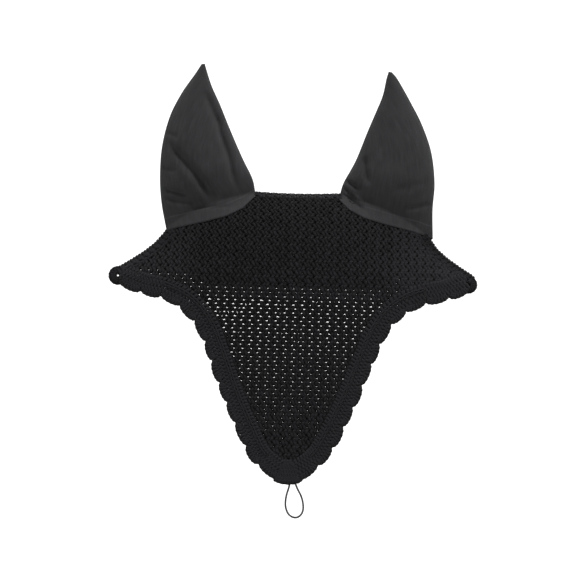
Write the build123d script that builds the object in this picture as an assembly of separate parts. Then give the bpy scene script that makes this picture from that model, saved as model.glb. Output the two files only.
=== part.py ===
from build123d import *
import os
from math import radians, sqrt, tan

# Crocheted fly veil with two ear covers, standing open as on a head. Millimetres, +Z up, front at -Y.
# The origin is the top of the fold over the poll, midway between the ears.
# Outlines are given for the +X side as (distance from the middle, height) and mirrored.

# Cloth
NET_THICK = 3.6
EAR_THICK = 1.6
GAP = 0.4

# The open cap: half of its depth at the browband line, and the height over which it rounds to the crown
CAP_HALF_DEPTH = 50.0
CROWN_DROP = 105.0
FACE_SLOPE = 0.05
FOLD_Z = -122.0

# Half width of the cap's folded outline at each height
FOLD_OUTLINE = (
    (0, 52), (-3, 62), (-8, 80), (-16, 103), (-28, 127), (-40, 144), (-50, 151), (-60, 159),
    (-70, 171), (-80, 186), (-88, 199), (-97, 208), (-110, 211), (-122, 212), (-400, 212),
)

# Edges of the crocheted pieces
EAR_SEAM = ((46, -5), (64, -13.5), (88, -23), (118, -34), (136, -40), (150, -45))
BORDER_LINE = (
    (196, -101), (170, -111), (143, -117), (118, -130), (99, -154),
    (84, -190), (70, -227), (54, -262), (36, -295), (11, -316),
)
POLL_EDGE = ((172, -86), (150, -88), (124, -91), (108, -98), (92, -104))
BAND_WIDTH = 18.0
WING_EDGE_WIDTH = 7.0
WING_EDGE_TOP = -45.5
WING_EDGE_END = -86.0
CROWN_RIDGE_HALF = 44.0
CROWN_RIDGE_DROP = 6.0
CROWN_RIDGE_LEVELS = (-0.2, -1.5)
LEAST_DEPTH = 0.3
POLL_EDGING_WIDTH = 7.0

# Raised chain line on the border, and the shell edging outside it
CHAIN_INSET = 10.0
CHAIN_WIDTH = 3.0
CHAIN_RISE = 1.6
CHAIN_OVERLAP = 0.05
CHAIN_START = 8
SHELLS = 12
SHELLS_ON_WING = 2
SHELL_RISE = 7.5
TIP_SHELL_HALF = 15.0
TIP_SHELL_RISE = 9.0
TIP_GUSSET_HALF = 10.0
TIP_GUSSET_TOP = -304.5
TIP_Z = -317.0
TIP_ENDS = ((0.2, 0, -1), (0.2, 0, 1))
LOBE_CENTRE = (199.0, -97.0)
LOBE_RADIUS = 9.5
LOBE_THICK = 7.2
EYELET_RADIUS = 1.6

# Ear covers, from the seam to the tip: (outer edge, inner edge, half depth) of each cross-section
LEFT_EAR = (
    ((146, -44), (46, -4), 20), ((151.5, -14), (50, 17), 23), ((153, 16), (62, 40), 22),
    ((151, 50), (77, 73), 19), ((143, 84), (88, 98), 14), ((130, 111), (98, 119), 9),
    ((116, 132), (104, 136), 4), ((109, 142.5), (106, 143.5), 1.8),
)
RIGHT_EAR = (
    ((152, -44), (48, -4), 20), ((153, -14), (52, 15), 23), ((155, 16), (65, 38), 22),
    ((150.5, 50), (78, 70), 19), ((139.5, 80), (87, 92), 14), ((126, 105), (95, 113), 9),
    ((110, 131), (99, 132), 4), ((104, 138.5), (101, 139), 1.8),
)
EAR_HEM_HEIGHT = 27.0
EAR_SEAM_WIDTH = 3.5
EAR_SEAM_SHARE = 0.3
EAR_TIP_SHARE = 0.45
HEM_SLOPE_OUTER = 0.18
HEM_SLOPE_INNER = 0.2
HEM_RISE_INNER = 0.8
HEM_EDGES = (0.02, 0.06)
PANEL_GAP = 0.1

# Elastic loop: a round cord whose two ends pass through the point of the net to a knot behind it
CORD_RADIUS = 1.1
LOOP_ROUTE = (
    (0.5, -326.4), (-3.2, -337.8), (-3.8, -350.0), (1.0, -359.6),
    (10.2, -362.0), (17.0, -354.4), (15.4, -339.6), (8.0, -326.8),
)
ARC_SHARE = 0.45
KNOT_RADIUS = 4.5
KNOT_SHAPE = (1.2, 0.8, 1.0)
KNOT_X = 4.0
KNOT_DROP = 3.0

SIDES = {"left": -1, "right": 1}


def export(name, *solids):
    """Write one node, which may hold several solids."""
    shape = solids[0] if len(solids) == 1 else Compound(children=list(solids))
    shape.label = name
    export_step(shape, f"parts/{name}.step")


def between(table, key):
    """Linear interpolation in a table of (key, value) rows whose keys fall."""
    for (k0, v0), (k1, v1) in zip(table, table[1:]):
        if k1 <= key <= k0:
            return v0 + (v1 - v0) * (k0 - key) / (k0 - k1)
    return table[0][1] if key > table[0][0] else table[-1][1]


def half_depth(z, inset):
    """Half of the cap's depth in the middle, at a height, on a skin moved inwards by inset."""
    if z <= -CROWN_DROP:
        return CAP_HALF_DEPTH - inset + FACE_SLOPE * max(FOLD_Z - z, 0)
    rise = min((z + CROWN_DROP) / (CROWN_DROP - inset), 1)
    return max((CAP_HALF_DEPTH - inset) * sqrt(1 - rise * rise), LEAST_DEPTH)


def depth_at(x, z, inset=0.0):
    """Distance of the skin from the cap's middle plane. Each level section is a circular arc."""
    half = between(FOLD_OUTLINE, z) - inset
    depth = half_depth(z, inset)
    radius = (half * half + depth * depth) / (2 * depth)
    return max(sqrt(max(radius * radius - x * x, 0)) - radius + depth, 0.0)


def skin(x, z, facing=-1, inset=0.0):
    """A point on the skin: facing -1 is the front, 1 the back."""
    return Vector(x, facing * depth_at(x, z, inset), z)


def level_section(z, left, right, facing, thick):
    """Level cut through a curved sheet between two distances from the middle."""
    middle = (left + right) / 2
    outer = ThreePointArc(*[skin(x, z, facing) for x in (left, middle, right)])
    inner = ThreePointArc(*[skin(x, z, facing, thick) for x in (right, middle, left)])
    return Face(Wire([outer, Line(outer @ 1, inner @ 0), inner, Line(inner @ 1, outer @ 0)]))


def sheet(levels, half_width, facing, thick=NET_THICK):
    """A curved sheet lofted through level cuts, half_width(z) wide on each side."""
    cuts = [level_section(z, -half_width(z), half_width(z), facing, thick) for z in levels]
    return Solid(loft(cuts, ruled=True).wrapped)


def steps(start, end, count):
    """Evenly spaced values, both ends included."""
    return [start + (end - start) * i / count for i in range(count + 1)]


def border_stations(count):
    """Points along the border line with the unit vector towards the net, for the +X side."""
    line = Spline([Vector(x, 0, z) for x, z in BORDER_LINE])
    found = []
    for share in steps(0, 1, count):
        at = line.position_at(share)
        along = line.tangent_at(share)
        found.append((at, Vector(along.Z, 0, -along.X)))
    return found


def inner_reach(at, normal, width):
    """How far the border reaches inwards without crossing the middle."""
    room = (at.X - GAP) / abs(normal.X) if normal.X < 0 else width
    return min(width, room)


def ribbon(side, stations, near, far, rise, thick):
    """A strip of cloth along the border line, between two distances inside it."""
    cuts = []
    for at, normal in stations:
        ends = [at + normal * inner_reach(at, normal, w) for w in (near, far)]
        outer = [skin(side * p.X, p.Z) - Vector(0, rise, 0) for p in ends]
        back = [p + Vector(0, thick, 0) for p in outer[::-1]]
        cuts.append(Face(Wire(Polyline(outer + back, close=True).edges())))
    return Solid(loft(cuts, ruled=True).wrapped)


def net_reach(z):
    """Half width of the open net at a height: inside the seams, wing edges and bands."""
    seam = [(z0, x0) for x0, z0 in EAR_SEAM]
    if z > EAR_SEAM[-1][1]:
        return between(seam, z) - GAP
    inner = []
    for at, normal in border_stations(40):
        edge = at + normal * inner_reach(at, normal, BAND_WIDTH)
        inner.append((edge.Z, edge.X))
    inner.sort(reverse=True)
    fold = between(FOLD_OUTLINE, z) - WING_EDGE_WIDTH
    return min(fold, between(inner, z)) - GAP if z < inner[0][0] else fold - GAP


def poll_reach(z):
    """Half width of the back panel at a height, above its finished edge."""
    edge = [(z0 + POLL_EDGING_WIDTH, x0) for x0, z0 in POLL_EDGE]
    seam = [(z0, x0) for x0, z0 in EAR_SEAM]
    if z > EAR_SEAM[-1][1]:
        return between(seam, z) - GAP
    fold = between(FOLD_OUTLINE, z) - WING_EDGE_WIDTH
    return min(fold, between(edge, z)) - GAP


def fold_section(half, z, side):
    """Level cut through a pressed fold: a wedge that ends in the fold itself."""
    near = half - WING_EDGE_WIDTH
    corners = [skin(side * near, z), Vector(side * half, 0, z), skin(side * near, z, 1)]
    return Face(Wire(Polyline(corners, close=True).edges()))


def half_space(z, upper):
    """A block above or below a level."""
    return Pos(0, 0, z + (300 if upper else -300)) * Box(600, 400, 600)


def build_crown():
    """The folded row of stitches over the poll."""
    rounds = []
    for z in (*CROWN_RIDGE_LEVELS, -CROWN_RIDGE_DROP + GAP):
        front = ThreePointArc(*[skin(x, z) for x in (-CROWN_RIDGE_HALF, 0, CROWN_RIDGE_HALF)])
        back = ThreePointArc(*[skin(x, z, 1) for x in (CROWN_RIDGE_HALF, 0, -CROWN_RIDGE_HALF)])
        rounds.append(Face(Wire([front, Line(front @ 1, back @ 0), back, Line(back @ 1, front @ 0)])))
    export("crown_ridge", Solid(loft(rounds, ruled=True).wrapped))


def build_nets():
    """Brow net, forehead net and poll net, with the poll net's finished lower edge."""
    seam_levels = [-CROWN_RIDGE_DROP] + [z for x, z in EAR_SEAM[1:]]
    wing_levels = steps(-50, -80, 6) + steps(-83, FOLD_Z + GAP / 2, 10)
    export("brow_net", sheet(seam_levels + wing_levels, net_reach, -1))
    export("forehead_net", sheet(steps(FOLD_Z - GAP / 2, -300, 12), net_reach, -1))
    edge_levels = [z + POLL_EDGING_WIDTH for x, z in POLL_EDGE]
    export("poll_net", sheet(seam_levels + steps(-50, -74, 5) + edge_levels, poll_reach, 1))


def build_poll_edging():
    """The crocheted row along the back panel's lower edge, from wing to wing."""
    cuts = []
    for x, z in [(-x, z) for x, z in POLL_EDGE] + list(POLL_EDGE[::-1]):
        low = skin(x, z, 1)
        high = skin(x, z + POLL_EDGING_WIDTH - GAP, 1)
        corners = [low, high, high - Vector(0, NET_THICK, 0), low - Vector(0, NET_THICK, 0)]
        cuts.append(Face(Wire(Polyline(corners, close=True).edges())))
    export("poll_edging", Solid(loft(cuts, ruled=True).wrapped))


def build_wing_edge(name, side):
    """The pressed fold along the top of one wing, where front and back are one cloth."""
    cuts = [fold_section(between(FOLD_OUTLINE, z), z, side) for z in steps(WING_EDGE_TOP, WING_EDGE_END, 10)]
    export(f"{name}_wing_edge", Solid(loft(cuts, ruled=True).wrapped))


def build_border(name, side):
    """The dense border: its wing stretch, its stretch beside the forehead net, and the raised chain."""
    stations = border_stations(2 * SHELLS)
    band = ribbon(side, stations[1:], 0, BAND_WIDTH, 0, NET_THICK)
    export(f"{name}_wing_band", band & half_space(FOLD_Z + GAP / 2, True))
    export(f"{name}_border_band", band & half_space(FOLD_Z - GAP / 2, False))
    far = CHAIN_INSET + CHAIN_WIDTH
    chain = ribbon(side, stations[CHAIN_START:-2], CHAIN_INSET, far, CHAIN_RISE, CHAIN_RISE - CHAIN_OVERLAP)
    export(f"{name}_ridge_chain", chain)


def shell_piece(side, start, end, out, rise):
    """One rounded shell of the edging, standing on the chord between two points of the border."""
    a = skin(side * start.X, start.Z)
    b = skin(side * end.X, end.Z)
    middle = (start + end) * 0.5
    tip = middle + out * rise
    up = skin(side * tip.X, tip.Z) - skin(side * middle.X, middle.Z)
    half = (b - a).length / 2 - GAP
    plane = Plane(origin=(a + b) * 0.5, x_dir=b - a, z_dir=(b - a).cross(up))
    low = 2 * GAP
    outline = Wire([ThreePointArc((-half, low), (0, rise), (half, low)), Line((half, low), (-half, low))])
    inwards = NET_THICK if plane.z_dir.Y > 0 else -NET_THICK
    return extrude(plane * Face(outline), amount=inwards)


def build_shells(name, side):
    """Shell edging of one side, with the round lobe and its eyelet at the wing's tip."""
    stations = border_stations(SHELLS)
    shells = []
    for (start, normal), (end, _) in zip(stations, stations[1:]):
        chord = (end - start).normalized()
        shells.append(shell_piece(side, start, end, Vector(-chord.Z, 0, chord.X), SHELL_RISE))
    x, z = LOBE_CENTRE
    centre = Pos(side * x, 0, z) * Rot(90, 0, 0)
    lobe = centre * (Cylinder(LOBE_RADIUS, LOBE_THICK) - Cylinder(EYELET_RADIUS, 2 * LOBE_THICK))
    export(f"{name}_wing_scallops", lobe.solid(), *[s.solid() for s in shells[1:SHELLS_ON_WING]])
    export(f"{name}_scallops", *[s.solid() for s in shells[SHELLS_ON_WING:]])


def build_tip():
    """The wide shell that closes the point, and the knot behind it."""
    y = -half_depth(TIP_Z, 0)
    low = TIP_Z - TIP_SHELL_RISE
    ends = [Vector(TIP_SHELL_HALF, 0, TIP_Z), Vector(-TIP_SHELL_HALF, 0, TIP_Z)]
    curve = Spline([ends[0], Vector(0, 0, low), ends[1]], tangents=TIP_ENDS)
    gusset = [ends[1], Vector(-TIP_GUSSET_HALF, 0, TIP_Z), Vector(0, 0, TIP_GUSSET_TOP)]
    gusset += [Vector(TIP_GUSSET_HALF, 0, TIP_Z), ends[0]]
    face = Face(Wire([curve, *Polyline(gusset).edges()]))
    export("tip_scallop", (Pos(0, y, 0) * extrude(face, amount=-NET_THICK)).solid())
    knot = scale(Sphere(KNOT_RADIUS), by=KNOT_SHAPE)
    behind = y + NET_THICK + KNOT_RADIUS * KNOT_SHAPE[1]
    export("loop_knot", (Pos(KNOT_X, behind + GAP / 4, TIP_Z - KNOT_DROP) * knot).solid())


def build_loop():
    """The elastic loop, hanging from the point of the net."""
    y = -half_depth(TIP_Z, 0) + NET_THICK / 2
    route = [Vector(x, y, z) for x, z in LOOP_ROUTE]
    radii = []
    for before, at, after in zip(route, route[1:], route[2:]):
        turn = (at - before).get_angle(after - at)
        run = min((at - before).length, (after - at).length)
        radii.append(ARC_SHARE * run / tan(radians(turn) / 2))
    print("loop radii", [round(r, 1) for r in radii])
    path = FilletPolyline(*route, radius=radii)
    start = Plane(origin=path @ 0, z_dir=path % 0)
    tube = sweep(start * Circle(CORD_RADIUS), path=path)
    print("loop length", round(path.length, 1), "volume", round(tube.volume / (3.14159 * CORD_RADIUS**2), 1))
    export("elastic_loop", tube.solid())


def ear_frame(station, side):
    """Outer edge, inner edge and half depth of one ear section."""
    (outer_x, outer_z), (inner_x, inner_z), depth = station
    outer = Vector(side * outer_x, 0, outer_z)
    inner = Vector(side * inner_x, 0, inner_z)
    return outer, inner, depth


def ear_point(station, side, share, facing, inset):
    """A point of an ear section: share runs from the outer edge to the inner edge."""
    outer, inner, depth = ear_frame(station, side)
    bulge = 1 - (2 * share - 1) ** 2
    flat = outer + (inner - outer) * share
    return flat + Vector(0, facing * max(depth * bulge - inset, 0.05), 0)


def ear_panel(stations, side, facing):
    """Front or back panel between the two seams."""
    cuts = []
    for station in stations:
        outer, inner, depth = ear_frame(station, side)
        edge = min(EAR_SEAM_WIDTH / (inner - outer).length, EAR_SEAM_SHARE)
        thick = min(EAR_THICK, depth * EAR_TIP_SHARE)
        shares = [edge, 0.5, 1 - edge]
        out = [ear_point(station, side, s, facing, 0) for s in shares]
        back = [p - Vector(0, facing * thick, 0) for p in out[::-1]]
        if facing * back[0].Y < PANEL_GAP:
            back = [Vector(p.X, facing * PANEL_GAP if i != 1 else p.Y, p.Z) for i, p in enumerate(back)]
        a = ThreePointArc(*out)
        b = ThreePointArc(*back)
        cuts.append(Face(Wire([a, Line(a @ 1, b @ 0), b, Line(b @ 1, a @ 0)])))
    return Solid(loft(cuts, ruled=True).wrapped)


def ear_seam(stations, side, at_outer):
    """The wedge of cloth along one edge, where the two panels are sewn together."""
    cuts = []
    for station in stations:
        outer, inner, depth = ear_frame(station, side)
        edge = min(EAR_SEAM_WIDTH / (inner - outer).length, EAR_SEAM_SHARE)
        share = edge if at_outer else 1 - edge
        tip = outer if at_outer else inner
        corners = [ear_point(station, side, share, -1, 0), tip, ear_point(station, side, share, 1, 0)]
        cuts.append(Face(Wire(Polyline(corners, close=True).edges())))
    return Solid(loft(cuts, ruled=True).wrapped)


def raised(station, height):
    """An ear section moved up from the seam."""
    (outer_x, outer_z), (inner_x, inner_z), depth = station
    outer = (outer_x + height * HEM_SLOPE_OUTER, outer_z + height)
    inner = (inner_x + height * HEM_SLOPE_INNER, inner_z + height * HEM_RISE_INNER)
    return outer, inner, depth


def ear_hem(station, side):
    """The closed band around the ear cover's base."""
    rings = []
    for inset, edge in zip((0, EAR_THICK), HEM_EDGES):
        cuts = []
        for height in (GAP, EAR_HEM_HEIGHT - GAP):
            level = raised(station, height)
            front = ThreePointArc(*[ear_point(level, side, s, -1, inset) for s in (edge, 0.5, 1 - edge)])
            back = ThreePointArc(*[ear_point(level, side, s, 1, inset) for s in (1 - edge, 0.5, edge)])
            cuts.append(Face(Wire([front, Line(front @ 1, back @ 0), back, Line(back @ 1, front @ 0)])))
        rings.append(Solid(loft(cuts, ruled=True).wrapped))
    return rings[0] - rings[1]


def build_ear(name, sections, side):
    """Front and back panels, the two seams and the hem band of one ear cover."""
    stations = [raised(sections[0], EAR_HEM_HEIGHT)] + list(sections[2:])
    export(f"{name}_ear_front", ear_panel(stations, side, -1))
    export(f"{name}_ear_back", ear_panel(stations, side, 1))
    export(f"{name}_ear_outer_seam", ear_seam(stations, side, True))
    export(f"{name}_ear_inner_seam", ear_seam(stations, side, False))
    export(f"{name}_ear_hem", ear_hem(sections[0], side).solid())


os.makedirs("parts", exist_ok=True)
build_crown()
build_nets()
build_poll_edging()
for side_name, sign in SIDES.items():
    build_wing_edge(side_name, sign)
    build_border(side_name, sign)
    build_shells(side_name, sign)
build_tip()
build_loop()
build_ear("left", LEFT_EAR, -1)
build_ear("right", RIGHT_EAR, 1)
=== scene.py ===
import math
import bpy
import numpy as np
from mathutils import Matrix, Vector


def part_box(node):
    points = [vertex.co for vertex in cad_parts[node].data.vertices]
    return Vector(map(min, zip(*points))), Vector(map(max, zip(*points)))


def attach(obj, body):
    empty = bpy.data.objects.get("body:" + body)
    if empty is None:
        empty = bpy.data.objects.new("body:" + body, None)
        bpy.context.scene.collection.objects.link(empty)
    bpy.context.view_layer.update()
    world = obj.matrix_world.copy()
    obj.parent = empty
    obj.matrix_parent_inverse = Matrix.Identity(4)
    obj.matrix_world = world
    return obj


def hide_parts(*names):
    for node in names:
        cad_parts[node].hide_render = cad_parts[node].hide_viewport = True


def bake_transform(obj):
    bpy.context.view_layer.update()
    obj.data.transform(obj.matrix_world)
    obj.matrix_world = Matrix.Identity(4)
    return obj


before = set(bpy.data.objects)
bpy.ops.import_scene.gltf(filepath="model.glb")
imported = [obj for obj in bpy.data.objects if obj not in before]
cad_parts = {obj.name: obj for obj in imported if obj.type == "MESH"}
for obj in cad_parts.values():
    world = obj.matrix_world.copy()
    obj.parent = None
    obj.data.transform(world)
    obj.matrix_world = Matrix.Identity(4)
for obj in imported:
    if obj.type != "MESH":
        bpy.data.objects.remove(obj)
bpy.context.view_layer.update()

# Camera. It stands straight in front of the veil with a long lens, tilted a little, because
# the veil it looks at hangs a degree off plumb.
EYE = (-0.0042, -3.25, -0.1087)
EYE_TILT = math.radians(1.4)
SENSOR_WIDTH_MM = 36
FOCAL_LENGTH_MM = 178.5
lens = bpy.data.cameras.new("camera")
lens.sensor_width = SENSOR_WIDTH_MM
lens.lens = FOCAL_LENGTH_MM
camera = bpy.data.objects.new("camera", lens)
camera.location = EYE
camera.rotation_euler = (math.radians(90), -EYE_TILT, 0)
bpy.context.collection.objects.link(camera)
bpy.context.scene.camera = camera


# Elastic loop. Thin round hat elastic with a braided jacket, dark grey. Both ends go into the
# point of the net, and the loop hangs below it, wide enough for a noseband.
class Value:
    """One shader value: operators on it add nodes to its material's tree."""

    def __init__(self, tree, socket=None):
        self.tree = tree
        self.socket = socket

    def node(self, kind, settings=None, inputs=None, output=0):
        made = self.tree.nodes.new(kind)
        for key, setting in (settings or {}).items():
            setattr(made, key, setting)
        for key, given in (inputs or {}).items():
            if isinstance(given, Value):
                self.tree.links.new(given.socket, made.inputs[key])
            else:
                made.inputs[key].default_value = given
        return Value(self.tree, made.outputs[output])

    def maths(self, operation, first, second=0.0):
        return self.node("ShaderNodeMath", {"operation": operation}, {0: first, 1: second})

    def __add__(self, other):
        return self.maths("ADD", self, other)

    def __radd__(self, other):
        return self.maths("ADD", other, self)

    def __mul__(self, other):
        return self.maths("MULTIPLY", self, other)

    def __rmul__(self, other):
        return self.maths("MULTIPLY", other, self)

    def sine(self):
        return self.maths("SINE", self)

    def between(self, low, high):
        """A colour from low to high as this value goes from 0 to 1."""
        colour_a, colour_b, colour_result = 6, 7, 2
        mixed = {"Factor": self, colour_a: (*low, 1), colour_b: (*high, 1)}
        return self.node("ShaderNodeMix", {"data_type": "RGBA"}, mixed, colour_result)

    def noise(self, place, scale, detail=3.0):
        sockets = {"Vector": place, "Scale": scale, "Detail": detail}
        return self.node("ShaderNodeTexNoise", {}, sockets)


CLOTH_SPECULAR = 0.06
CLOTH_SHEEN_ROUGHNESS = 0.5


def cloth_material(name, sheen, roughness, layout):
    """A cloth shader. layout(start, place) gives its colour, its height and the height's depth."""
    material = bpy.data.materials.new(name)
    material.use_nodes = True
    tree = material.node_tree
    shader = tree.nodes["Principled BSDF"]
    start = Value(tree)
    place = start.node("ShaderNodeTexCoord", output="Object")
    colour, height, depth = layout(start, place)
    sockets = {"Strength": 1.0, "Distance": depth, "Height": height}
    bumped = start.node("ShaderNodeBump", {}, sockets)
    tree.links.new(colour.socket, shader.inputs["Base Color"])
    tree.links.new(bumped.socket, shader.inputs["Normal"])
    shader.inputs["Roughness"].default_value = roughness
    shader.inputs["Specular IOR Level"].default_value = CLOTH_SPECULAR
    shader.inputs["Sheen Weight"].default_value = sheen
    shader.inputs["Sheen Roughness"].default_value = CLOTH_SHEEN_ROUGHNESS
    return material


BRAID_RIBS = 3600.0
BRAID_MOTTLE = 900.0
BRAID_DARK = (0.012, 0.012, 0.0125)
BRAID_LIGHT = (0.034, 0.034, 0.035)
BRAID_DEPTH = 0.0002


def braid_layout(start, place):
    """Ribs across the cord under a fine mottle."""
    upward = start.node("ShaderNodeSeparateXYZ", {}, {0: place}, 2)
    ribs = (upward * BRAID_RIBS).sine() * 0.5 + 0.5
    mottle = start.noise(place, BRAID_MOTTLE)
    return mottle.between(BRAID_DARK, BRAID_LIGHT), ribs * 0.5 + mottle * 0.5, BRAID_DEPTH


CORD_DIAMETER = 0.0022
LOOP_Y = -0.05795
LOOP_ROUTE = (
    (0.0008, -0.3232), (0.0001, -0.3275), (-0.0032, -0.3378), (-0.0038, -0.3500),
    (0.0010, -0.3596), (0.0102, -0.3620), (0.0170, -0.3544), (0.0154, -0.3396),
    (0.0084, -0.3275), (0.0070, -0.3232),
)
CORD_STEPS = 12
elastic = cloth_material("elastic_braid", 0.04, 0.8, braid_layout)
path = bpy.data.curves.new("elastic_loop", "CURVE")
path.dimensions = "3D"
path.bevel_depth = CORD_DIAMETER / 2
path.bevel_resolution = 5
path.resolution_u = CORD_STEPS
path.use_fill_caps = True
line = path.splines.new("NURBS")
line.points.add(len(LOOP_ROUTE) - 1)
for point, (x, z) in zip(line.points, LOOP_ROUTE):
    point.co = (x, LOOP_Y, z, 1)
line.order_u = 3
line.use_endpoint_u = True
line.resolution_u = CORD_STEPS
path.materials.append(elastic)
loop = bpy.data.objects.new("elastic_loop_cord", path)
bpy.context.collection.objects.link(loop)
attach(loop, "loop")
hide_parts("elastic_loop")


# Brow net. The front of the crocheted cap, worked in matte black cotton: rows of leaning
# double posts with a chain between the rows, so the holes zigzag from row to row. Its sizes,
# like those of every piece from here on, are in mm.
MM = 0.001
CAP_HALF_DEPTH = 50.0
LEAST_HALF_DEPTH = 0.3
CROWN_DROP = 105.0
FOLD_Z = -122.0
FACE_SLOPE = 0.05
FOLD_HEIGHTS = np.array([0, 3, 8, 16, 28, 40, 50, 60, 70, 80, 88, 97, 110, 122, 400.0])
FOLD_HALVES = np.array(
    [52, 62, 80, 103, 127, 144, 151, 159, 171, 186, 199, 208, 211, 212, 212.0])
NET_HALF = 1.8
SWAY = 1.3
SWAY_RUN = 200

turns = np.linspace(0, math.pi / 2, 600)
crown_heights = CROWN_DROP * (np.cos(turns) - 1)
crown_depths = CAP_HALF_DEPTH * np.sin(turns)
crown_steps = np.hypot(np.diff(crown_heights), np.diff(crown_depths))
crown_walk = np.concatenate([[0], np.cumsum(crown_steps)])
rng = np.random.default_rng(7)


def height_at(walk):
    """Height of a point that many mm down the cloth from the crown."""
    down = np.abs(walk)
    curved = np.interp(down, crown_walk, crown_heights)
    return np.where(down > crown_walk[-1], -CROWN_DROP - (down - crown_walk[-1]), curved)


def walk_to(height):
    """How many mm down the cloth a height lies."""
    if height < -CROWN_DROP:
        return crown_walk[-1] - CROWN_DROP - height
    return float(np.interp(-height, -crown_heights, crown_walk))


def depth_at(x, z):
    """How far the open cap stands from its middle plane: each level section is a circular arc."""
    rise = np.clip((z + CROWN_DROP) / CROWN_DROP, 0, 1)
    deep = CAP_HALF_DEPTH * np.sqrt(1 - rise**2) + FACE_SLOPE * np.maximum(FOLD_Z - z, 0)
    deep = np.maximum(deep, LEAST_HALF_DEPTH)
    half = np.interp(-z, FOLD_HEIGHTS, FOLD_HALVES)
    radius = (half**2 + deep**2) / (2 * deep)
    return np.maximum(np.sqrt(np.maximum(radius**2 - x**2, 0)) - radius + deep, 0)


def on_skin(x, z, rise, facing):
    """Points on the cap or veil, lifted off its middle layer. facing is -1 in front, 1 behind."""
    deep = depth_at(x, z)
    out_y = deep / CAP_HALF_DEPTH**2 + 1e-6
    out_z = np.maximum(z + CROWN_DROP, 0) / CROWN_DROP**2
    size = np.hypot(out_y, out_z)
    lift = rise - NET_HALF
    x = x - SWAY * np.clip((-CROWN_DROP - z) / SWAY_RUN, 0, 1)
    return np.stack([x, facing * (deep + lift * out_y / size), z + lift * out_z / size], axis=-1)


YARN_END = 0.05


def tubes(lines, radius, upright=(0, 1, 0), sides=6):
    """Yarn along each line: its points, faces and a map of turns around and mm along.

    radius is one number, or one for each point of each line. The ends are drawn in to a point.
    """
    along = np.gradient(lines, axis=1)
    along /= np.linalg.norm(along, axis=2, keepdims=True) + 1e-9
    side = np.cross(along, np.array(upright, float))
    side /= np.linalg.norm(side, axis=2, keepdims=True) + 1e-9
    up = np.cross(side, along)
    spots = np.concatenate([lines[:, :1], lines, lines[:, -1:]], axis=1)
    side = np.concatenate([side[:, :1], side, side[:, -1:]], axis=1)
    up = np.concatenate([up[:, :1], up, up[:, -1:]], axis=1)
    thick = np.broadcast_to(np.asarray(radius, float), lines.shape[:2])
    ends = thick[:, :1] * YARN_END, thick[:, -1:] * YARN_END
    thick = np.concatenate([ends[0], thick, ends[1]], axis=1)[..., None, None]
    angle = np.arange(sides) * 2 * math.pi / sides
    around = np.cos(angle)[:, None] * side[:, :, None] + np.sin(angle)[:, None] * up[:, :, None]
    points = spots[:, :, None] + thick * around
    count, rings = spots.shape[:2]
    first = np.arange(count * rings).reshape(count, rings)[:, :-1, None] * sides
    ring = np.arange(sides)
    after = (ring + 1) % sides
    corners = first + ring, first + after, first + sides + after, first + sides + ring
    faces = np.stack(corners, axis=-1)
    spans = np.linalg.norm(np.diff(spots, axis=1), axis=2)
    reach = np.concatenate([np.zeros((count, 1)), np.cumsum(spans, axis=1)], axis=1)
    low = np.broadcast_to(reach[:, :-1, None], first.shape[:2] + (sides,))
    high = np.broadcast_to(reach[:, 1:, None], low.shape)
    left = np.broadcast_to(ring / sides, low.shape)
    right = np.broadcast_to((ring + 1) / sides, low.shape)
    marks = np.stack([np.stack(pair, -1) for pair in
                      ((left, low), (right, low), (right, high), (left, high))], axis=-2)
    return points.reshape(-1, 3), faces.reshape(-1, 4), marks.reshape(-1, 2)


def make_mesh(name, pieces, material, least=0.0):
    """One object from several (points, faces, marks), given in mm.

    Its "lift" says how far each point stands off the middle of the net; the yarn shader paints
    shade into the hollows from it.
    least is the smallest lift given, which limits the painted shade on a piece that has no
    hollows.
    """
    points = np.concatenate([p for p, f, m in pieces]) * MM
    starts = np.cumsum([0] + [len(p) for p, f, m in pieces[:-1]])
    faces = np.concatenate([f + s for (p, f, m), s in zip(pieces, starts)])
    marks = np.concatenate([m for p, f, m in pieces])
    mesh = bpy.data.meshes.new(name)
    mesh.vertices.add(len(points))
    mesh.vertices.foreach_set("co", points.ravel())
    mesh.loops.add(faces.size)
    mesh.loops.foreach_set("vertex_index", faces.ravel().astype(np.int32))
    mesh.polygons.add(len(faces))
    mesh.polygons.foreach_set("loop_start", np.arange(0, faces.size, 4, dtype=np.int32))
    mesh.polygons.foreach_set("use_smooth", np.ones(len(faces), bool))
    mesh.uv_layers.new(name="strand").data.foreach_set("uv", marks.ravel())
    mesh.update(calc_edges=True)
    mesh.validate()
    mesh.materials.append(material)
    deep = depth_at(points[:, 0] / MM, points[:, 2] / MM)
    slope = np.maximum(points[:, 2] / MM + CROWN_DROP, 0) / CROWN_DROP**2
    steep = deep / CAP_HALF_DEPTH**2 + 1e-6
    lift = (np.abs(points[:, 1]) / MM - deep) * steep / np.hypot(steep, slope)
    lift = np.maximum(np.abs(np.maximum(lift, points[:, 2] / MM) + NET_HALF), least)
    # The lift attribute is what the yarn shader paints its hollow shade from
    mesh.attributes.new("lift", "FLOAT", "POINT").data.foreach_set("value", lift)
    made = bpy.data.objects.new(name, mesh)
    bpy.context.collection.objects.link(made)
    return made


YARN_PLIES = 6 * math.pi
YARN_TWIST = 2.4
YARN_FUZZ = 1600.0
YARN_PATCHES = 45.0
# Painted shade: the lift range from full shade in the hollows to none on the proud strands
PAINTED_SHADE_FULL_LIFT = 0.75
PAINTED_SHADE_NONE_LIFT = 3.2
# The dark end is the yarn's darkest tone and also the painted shade in its hollows
YARN_DARK_AND_PAINTED_SHADE = (0.0004, 0.0004, 0.0005)
YARN_LIGHT = (0.0095, 0.0088, 0.0100)
YARN_DEPTH = 0.0005


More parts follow.
